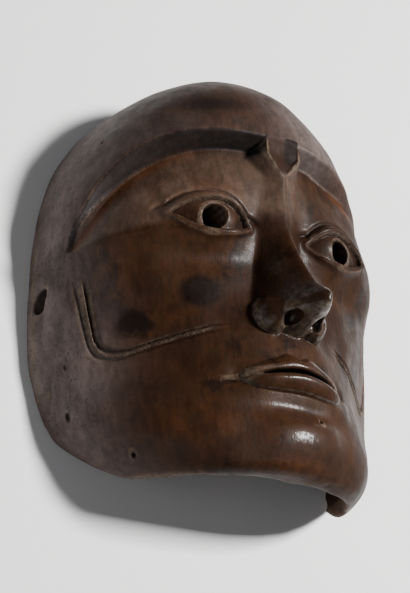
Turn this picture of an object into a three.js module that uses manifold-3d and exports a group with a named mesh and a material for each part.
// A carved wooden face mask: one block of dark wood, hollow behind, lying on its back rim with the face up.
// Millimetres. +X is the side of the mask's left eye, +Y is the forehead, +Z comes out of the face,
// and the back rim lies in the plane Z = 0. Heights on the face are measured from the mask's broadest level.
import * as THREE from "three";
import { mergeVertices } from "three/addons/utils/BufferGeometryUtils.js";
import Module from "manifold-3d";

const { abs, cos, exp, hypot, max, min, sin, sqrt, PI } = Math;
const { clamp, lerp, smoothstep } = THREE.MathUtils;

// Driving dimensions of the whole mask.
const TOP = 112;
const BOTTOM = -107.5;
const HALF = 88;
const WALL = 11;

// The rounded shell: a round crown, a broader jaw with round corners, and depths in front.
const SQUARE = { crown: 2.15, cheek: 1.75, jaw: 2.6 };
const CROWN = 1.97;
const JAW = { half: 92.3, corner: 64, round: 1.8 };
const DEPTH = { cap: 84, face: 68, brow: 84, side: 83, jaw: 58, hollow: 74 };
const DOME = { from: 20, round: 2.85 };

// The open bottom is cut level under the chin, and rises to the corners of the back rim.
const CUT = { rise: 26.5, reach: 42 };

// The cap ends in a ledge, high over the nose and low at the temples. Its arris and its root are two curves
// across the mask. The recess below it is deepest at the right temple and runs out at a crease over the
// eyes, and a notch is cut in the ledge's middle.
const LEDGE = { y: 52.7, drop: 56.6, curve: 6.1 };
const ROOT = { y: 48.5, drop: 62, curve: 4.1 };
const RECESS = { depth: 10.5, curve: 8, temple: 4.5, templeX: 62, shallower: 0.7 };
const CREASE = { y: 4, fall: 5 };
const NOTCH = { half: 8.2, y: 53.5, z: 82.4, tip: 35, tipZ: 79.6, shoulder: 10, scoop: 1.4 };

// The face is laid out by thirds, from the hairline to the chin, with the eyes an eye's width apart.
const THIRD = (TOP - 26 - BOTTOM) / 3;
const BROW_Y = BOTTOM + 2 * THIRD;
const NOSE_Y = BOTTOM + THIRD;
const MOUTH_Y = NOSE_Y - THIRD / 3;
const EYE = { x: 35.5, y: BROW_Y - 13, half: 18.5, up: 8.6, down: 6.2, lean: 0.05, mound: 8, inset: 2.6 };
const PUPIL_RADIUS = 5.6;
const NOSE = { rootY: 8, rootZ: 77.5, tipY: NOSE_Y + 8, tipZ: 95, wingX: 11, wing: 11 };
const NOSTRIL = { x: 6.9, z: 84, radii: [3.6, 5, 7], lean: 0.5 };
const LIPS = { half: 26.5, upper: 7.2, lower: 8.8, upperRise: 3.4, lowerRise: 4.2, peak: 0.42 };
const SLIT = { half: 18, gap: 1.15 };
const TIE_HOLE = { radius: 3, stretch: 2, lean: 0.42, y: -18, z: 10 };

const smoothMin = (a, b, k) => min(a, b) - max(k - abs(a - b), 0) ** 2 / (4 * k);
const smoothMax = (a, b, k) => -smoothMin(-a, -b, k);
const bell = (...t) => exp(-(hypot(...t) ** 2));
const mound = (...t) => exp(-(hypot(...t) ** 2.4));
const superArc = (t, p) => (1 - clamp(t, 0, 1) ** p) ** (1 / p);

// Half-width of the shell at a height; the inset is the wall's thickness for the hollow.
function halfWidth(y, inset) {
  const spread = (JAW.half - HALF) * smoothstep(-y, -24, 36);
  if (y > 0) return (HALF - inset) * superArc(y / (TOP - inset), CROWN) + spread;
  const corner = (BOTTOM + JAW.corner - y) / (JAW.corner * 1.1);
  return HALF - inset + spread - JAW.corner * (1 - superArc(corner, JAW.round));
}

// How square the shell's level sections are: rounder at the cheeks, squarer again at the jaw's lower edge.
function squareness(y) {
  const cheek = lerp(SQUARE.crown, SQUARE.cheek, smoothstep(-y, -14, 14));
  return cheek + (SQUARE.jaw - SQUARE.cheek) * smoothstep(-y, 55, 100);
}

const domeShare = (y, inset) => superArc((y - DOME.from) / (TOP - inset - DOME.from), DOME.round);

// Distance outside the smooth shell, about, in level sections of rounded shape.
function shell(x, y, z, depth, inset = 0) {
  const a = max(halfWidth(y, inset), 0.5);
  const d = max((depth - inset) * domeShare(y, inset), 0.5);
  const power = squareness(y);
  return (((abs(x) / a) ** power + (abs(z) / d) ** power) ** (1 / power) - 1) * min(a, d);
}

function baseDepth(x, y) {
  const middle = lerp(DEPTH.face, DEPTH.brow, smoothstep(y, -10, 50));
  const side = lerp(DEPTH.jaw, DEPTH.side, smoothstep(y, -55, 8));
  return lerp(middle, side, smoothstep(abs(x), 40, 78));
}

// Depth of the cap, which runs into the face's own depth below the temples.
function capDepth(x, y) {
  const depth = lerp(DEPTH.cap, DEPTH.side - 0.6, smoothstep(abs(x), 64, 82));
  return lerp(depth, baseDepth(x, y), smoothstep(-y, 0, 14));
}

const across = (x) => min(abs(x) / HALF, 1);
const ledgeY = (x) => LEDGE.y - LEDGE.drop * across(x) ** LEDGE.curve;
const rootY = (x) => ROOT.y - ROOT.drop * across(x) ** ROOT.curve;
const facetZ = (y) => lerp(NOTCH.tipZ, NOTCH.z, (y - NOTCH.tip) / (NOTCH.y - NOTCH.tip));
const notchHalf = (y) => NOTCH.half * clamp((y - NOTCH.tip) / NOTCH.shoulder, 0, 1);

function recess(x) {
  const temple = RECESS.temple * bell((x + RECESS.templeX) / 22);
  const shallow = 1 - RECESS.shallower * smoothstep(x, 30, 64);
  return (RECESS.depth * shallow + temple) * (1 - across(x) ** RECESS.curve);
}

function arrisZ(x) {
  const y = ledgeY(x);
  return capDepth(x, y) * domeShare(y, 0) * superArc(abs(x) / halfWidth(y, 0), squareness(y));
}

// Height above the ledge's underside, a sloping band between its arris and its root.
function aboveLedge(x, y, z) {
  const lean = (ledgeY(x) - rootY(x)) / max(recess(x), 1.5);
  const turn = ((LEDGE.drop * LEDGE.curve) / HALF) * across(x) ** (LEDGE.curve - 1);
  return (y - ledgeY(x) + lean * (arrisZ(x) - z)) / hypot(1, lean, turn);
}

const cap = (x, y, z) => max(shell(x, y, z, capDepth(x, y)), -aboveLedge(x, y, z));

// The plane cut in under the ledge: deepest at the ledge, running out at a line from the temple to the eye.
function socketDepth(x, y) {
  const end = CREASE.y - CREASE.fall * across(x) ** 3;
  const t = clamp((y - end) / max(rootY(x) - end, 1), 0, 1);
  const soft = t * t * (2.2 - 1.2 * t);
  return recess(x) * lerp(soft, t ** 0.85, smoothstep(abs(x), 46, 60));
}

// The eyeball's mound, and the almond opening let into it.
function eyeRelief(x, y) {
  const dx = abs(x) - EYE.x;
  const s = dx / EYE.half;
  const t = y - EYE.y - EYE.lean * dx;
  const arc = max(1 - s * s, 0);
  const opening = arc > 0 ? min(EYE.up * arc ** 0.8 - t, t + EYE.down * arc ** 0.95) : -1;
  return EYE.mound * mound(s / 1.2, (t - 0.5) / 14.5) - EYE.inset * smoothstep(opening, -0.1, 1.1);
}

// Height of the nose's ridge, from the notch over the eyes to the tip.
function ridgeZ(y) {
  if (y > NOTCH.tip) return facetZ(y);
  const down = clamp((NOSE.rootY - y) / (NOSE.rootY - NOSE.tipY), 0, 1);
  const up = clamp((y - NOSE.rootY) / (NOTCH.tip - NOSE.rootY), 0, 1);
  return NOSE.rootZ + (NOSE.tipZ - NOSE.rootZ) * down ** 1.15 - (NOSE.rootZ - NOTCH.tipZ) * up ** 1.7;
}

function noseRelief(x, y) {
  const high = ridgeZ(y) - baseDepth(0, y) * domeShare(y, 0) + socketDepth(0, y);
  const down = clamp((NOSE.rootY - y) / (NOSE.rootY - NOSE.tipY), 0, 1);
  const flank = 7 + 3 * smoothstep(NOTCH.tip - y, 0, 30) + 5.5 * down ** 2;
  const half = flank * (1 - 0.7 * smoothstep(y, 43, 50));
  const ridge = 1.2 + 2 * down;
  const fall = max(hypot(x, ridge) - ridge - notchHalf(y), 0) / half;
  const droop = 4.5 * clamp((NOSE.tipY + 3 - y) / 11, 0, 1) ** 2;
  const body = high * (1 - fall) + 2.2 * bell(x / 7, (y - NOSE.tipY) / 8) - droop;
  const end = NOSE_Y + 1 + 0.016 * min(x * x, 400);
  const above = smoothstep(y, end - 4.5, end + 3);
  const share = 1 - ((abs(x) - NOSE.wingX) / 7.4) ** 2 - ((y - NOSE_Y - 7.5) / 9.6) ** 2;
  const wing = share > 0 ? NOSE.wing * sqrt(share) : max(17 * share, -5);
  const both = smoothMax(lerp(-5, body, above), wing, 3);
  return smoothMax(both, 0, 1.5) * (1 - smoothstep(y, 54, 60));
}

const lipLine = (x) => MOUTH_Y + 0.9 * cos(clamp(x / 8, -PI, PI)) - 1.2 * (x / 27) ** 2;

// A lip's swelling at a share of its height above or below the mouth's line.
function lip(u, rise, fade) {
  const roll = sqrt(max(1 - (1 - clamp(u / LIPS.peak, 0, 1)) ** 2, 0));
  const slope = 1 - 0.7 * clamp((u - LIPS.peak) / (1 - LIPS.peak), 0, 1) ** 1.4;
  return rise * fade ** 0.7 * roll * slope * (1 - smoothstep(u, 0.94, 1.08));
}

function mouthRelief(x, y) {
  const fade = superArc(abs(x) / LIPS.half, 2);
  const t = y - lipLine(x);
  const bow = 1.5 * bell((abs(x) - 6) / 4.5) - 1.1 * bell(x / 3);
  const upper = lip(t / ((LIPS.upper + bow) * (0.15 + 0.85 * fade)), LIPS.upperRise, fade);
  const lower = lip(-t / (LIPS.lower * (0.1 + 0.9 * fade)), LIPS.lowerRise, fade);
  const corner = 1.6 * bell((abs(x) - 27.5) / 4, (y - MOUTH_Y + 1) / 4.5);
  const muzzle = 7.5 * mound(x / 36, (y - MOUTH_Y - 3) / 29);
  const chin = 6 * mound(x / 23, (y - BOTTOM - 15) / 13);
  const dip = 3.2 * bell(x / 22, (y - MOUTH_Y + 15.5) / 5.5);
  return muzzle + upper + lower + chin - corner - dip;
}

function cheekRelief(x, y) {
  const bone = 2.5 * bell((abs(x) - 42) / 18, (y + 20) / 18);
  const hollow = 2 * bell((abs(x) - 48) / 16, (y + 62) / 20);
  const innerCorner = 3.5 * bell((abs(x) - 17) / 9, (y - EYE.y - 2) / 11);
  const underEye = 1.3 * bell((abs(x) - EYE.x) / 22, (y - EYE.y + 16) / 7);
  return bone - hollow - innerCorner - underEye;
}

function outside(x, y, z) {
  const relief = eyeRelief(x, y) + noseRelief(x, y) + mouthRelief(x, y) + cheekRelief(x, y);
  const lift = (relief - socketDepth(x, y)) * smoothstep(z, 0, 30);
  return min(shell(x, y, z - lift, baseDepth(x, y)), cap(x, y, z));
}

// The hollow follows the shell at the wall's thickness, with a deeper pocket behind the nose.
function inside(x, y, z) {
  const depth = lerp(DEPTH.face, DEPTH.hollow, smoothstep(y, -10, 40));
  const main = shell(x, max(y, BOTTOM + 12), z, depth, WALL);
  const pocket = 8 * (hypot(x / 8, (y + 22) / 24, (z - 54) / 20) - 1);
  return smoothMin(main, pocket, 12);
}

const wasm = await Module();
wasm.setup();

function solid(geometry) {
  const bare = new THREE.BufferGeometry();
  bare.setAttribute("position", geometry.getAttribute("position"));
  bare.setIndex(geometry.index);
  const merged = mergeVertices(bare, 1e-3);
  const mesh = new wasm.Mesh({
    numProp: 3,
    vertProperties: new Float32Array(merged.getAttribute("position").array),
    triVerts: new Uint32Array(merged.index.array),
  });
  return new wasm.Manifold(mesh);
}

function placed(geometry, x, y, z) {
  return solid(geometry.translate(x, y, z));
}

// How far the form reaches on a level ray from the upright axis.
function reachOf(field, angle, y) {
  const [sx, sz] = [sin(angle), cos(angle)];
  let far = 130;
  let near = far;
  while (near > 0 && field(near * sx, y, near * sz) > 0) {
    far = near;
    near -= 2;
  }
  for (let i = 0; i < 16; i += 1) {
    const middle = (near + far) / 2;
    if (field(middle * sx, y, middle * sz) < 0) near = middle;
    else far = middle;
  }
  return max(near, 0);
}

// Directions round the upright axis: close together over the nose, wide at the sides, few behind the rim.
function columnAngle(turn) {
  const frontShare = 0.9;
  const s = clamp(turn / frontShare, -1, 1);
  const front = (93 * (0.6 * s + 0.4 * s ** 3) * PI) / 180;
  const rest = max(abs(turn) - frontShare, 0) / (1 - frontShare);
  return front + Math.sign(turn) * rest * ((87 * PI) / 180);
}

// A cylinder about the upright axis whose sides are drawn out to a form; heightOf places its rows.
function wrapped(field, columns, rows, heightOf) {
  const geometry = new THREE.CylinderGeometry(1, 1, rows, columns, rows);
  const points = geometry.getAttribute("position");
  for (let i = 0; i < points.count; i += 1) {
    const [px, pz] = [points.getX(i), points.getZ(i)];
    const row = Math.round(points.getY(i) + rows / 2);
    const angle = columnAngle(Math.atan2(px, pz) / PI);
    let [x, z, reach] = [HALF * sin(angle), DEPTH.cap * cos(angle) - WALL, 0];
    let y = heightOf(row, x);
    for (let pass = 0; pass < 4; pass += 1) {
      reach = hypot(px, pz) > 0.5 ? reachOf(field, angle, y) : 0;
      [x, z] = [reach * sin(angle), reach * cos(angle)];
      if (reach > 0) y = heightOf(row, x);
    }
    points.setXYZ(i, x, y, z);
  }
  return solid(geometry);
}

// The outer skin's rows run along the ledge: one on its inner corner, the next on its arris.
const OUTER = { columns: 74, faceRows: 42, domeRows: 12 };

function outerRow(row, x) {
  if (row <= OUTER.faceRows) return lerp(BOTTOM, rootY(x) - 0.4, row / OUTER.faceRows);
  const t = (row - OUTER.faceRows - 1) / (OUTER.domeRows - 1);
  return lerp(ledgeY(x) + 0.4, TOP, 1 - (1 - t) ** 1.6);
}

const INNER = { columns: 30, rows: 18, below: 10 };

function innerRow(row) {
  const t = row / INNER.rows;
  return lerp(BOTTOM - INNER.below, TOP - WALL, 1 - (1 - t) ** 1.4);
}

function behindRim() {
  return placed(new THREE.BoxGeometry(400, 400, 200), 0, 0, -100);
}

// A block of a side-on outline, drawn with Z to the right and Y up, that runs across the mask.
function acrossMask(shape, half) {
  const block = new THREE.ExtrudeGeometry(shape, { depth: 2 * half, bevelEnabled: false, curveSegments: 10 });
  return placed(block.rotateY(-PI / 2), half, 0, 0);
}

// What the curved cut takes off below the chin and the jaw.
function belowCut() {
  const shape = new THREE.Shape();
  shape.moveTo(-1, BOTTOM + CUT.rise * (1 + 1 / CUT.reach) ** 2);
  shape.lineTo(0, BOTTOM + CUT.rise);
  shape.quadraticCurveTo(CUT.reach / 2, BOTTOM, CUT.reach, BOTTOM);
  shape.lineTo(200, BOTTOM);
  shape.lineTo(200, BOTTOM - 50);
  shape.lineTo(-1, BOTTOM - 50);
  return acrossMask(shape, 150);
}

// What the notch takes out of the ledge, down to its sloping facet: parallel sides with a V below them.
function notch() {
  const side = new THREE.Shape();
  const shoulder = NOTCH.tip + NOTCH.shoulder;
  const front = NOTCH.z + 30;
  side.moveTo(facetZ(NOTCH.tip), NOTCH.tip);
  side.lineTo(front, NOTCH.tip);
  side.lineTo(front, NOTCH.y);
  side.lineTo(NOTCH.z, NOTCH.y);
  side.lineTo(facetZ(NOTCH.y - 5) - NOTCH.scoop, NOTCH.y - 5);
  side.lineTo(facetZ(shoulder) - NOTCH.scoop, shoulder);
  const outline = new THREE.Shape();
  outline.moveTo(0, NOTCH.tip);
  outline.lineTo(NOTCH.half, shoulder);
  outline.lineTo(NOTCH.half, NOTCH.y + 5);
  outline.lineTo(-NOTCH.half, NOTCH.y + 5);
  outline.lineTo(-NOTCH.half, shoulder);
  const block = new THREE.ExtrudeGeometry(outline, { depth: 60, bevelEnabled: false });
  return acrossMask(side, NOTCH.half + 1).intersect(placed(block, 0, 0, NOTCH.tipZ - 20));
}

function pupil(side) {
  const bore = new THREE.CylinderGeometry(PUPIL_RADIUS, PUPIL_RADIUS, 80, 18).rotateX(PI / 2);
  return placed(bore, side * EYE.x, EYE.y, 80);
}

function mouthSlit() {
  const bore = new THREE.CylinderGeometry(1, 1, 80, 24).rotateX(PI / 2).scale(SLIT.half, SLIT.gap, 1);
  return placed(bore, 0, MOUTH_Y, 80);
}

function nostril(side) {
  const pit = new THREE.SphereGeometry(1, 14, 10).scale(...NOSTRIL.radii).rotateX(-NOSTRIL.lean);
  return placed(pit, side * NOSTRIL.x, NOSE_Y, NOSTRIL.z);
}

function tieHole(side) {
  const bore = new THREE.CylinderGeometry(TIE_HOLE.radius, TIE_HOLE.radius, 50, 16).rotateZ(PI / 2);
  bore.scale(1, TIE_HOLE.stretch, 1).rotateX(TIE_HOLE.lean);
  return placed(bore, side * HALF, TIE_HOLE.y, TIE_HOLE.z);
}

function carve() {
  let wood = wrapped(outside, OUTER.columns, OUTER.faceRows + OUTER.domeRows, outerRow);
  wood = wood.subtract(behindRim()).subtract(belowCut()).subtract(notch());
  wood = wood.subtract(wrapped(inside, INNER.columns, INNER.rows, innerRow));
  for (const side of [-1, 1]) {
    wood = wood.subtract(pupil(side)).subtract(nostril(side)).subtract(tieHole(side));
  }
  return wood.subtract(mouthSlit());
}

function geometryOf(made) {
  const { numProp, vertProperties, triVerts } = made.getMesh();
  const positions = vertProperties.filter((_, i) => i % numProp < 3);
  const geometry = new THREE.BufferGeometry();
  geometry.setAttribute("position", new THREE.BufferAttribute(positions, 3));
  geometry.setIndex(new THREE.BufferAttribute(new Uint32Array(triVerts), 1));
  geometry.computeVertexNormals();
  return geometry;
}

const darkWood = new THREE.MeshStandardMaterial({ color: 0x3a2a20, roughness: 0.42, metalness: 0 });
const mask = new THREE.Mesh(geometryOf(carve()), darkWood);
mask.name = "carved_mask";
mask.position.y = -(TOP + BOTTOM) / 2;

const carving = new THREE.Group();
carving.add(mask);
export default carving;
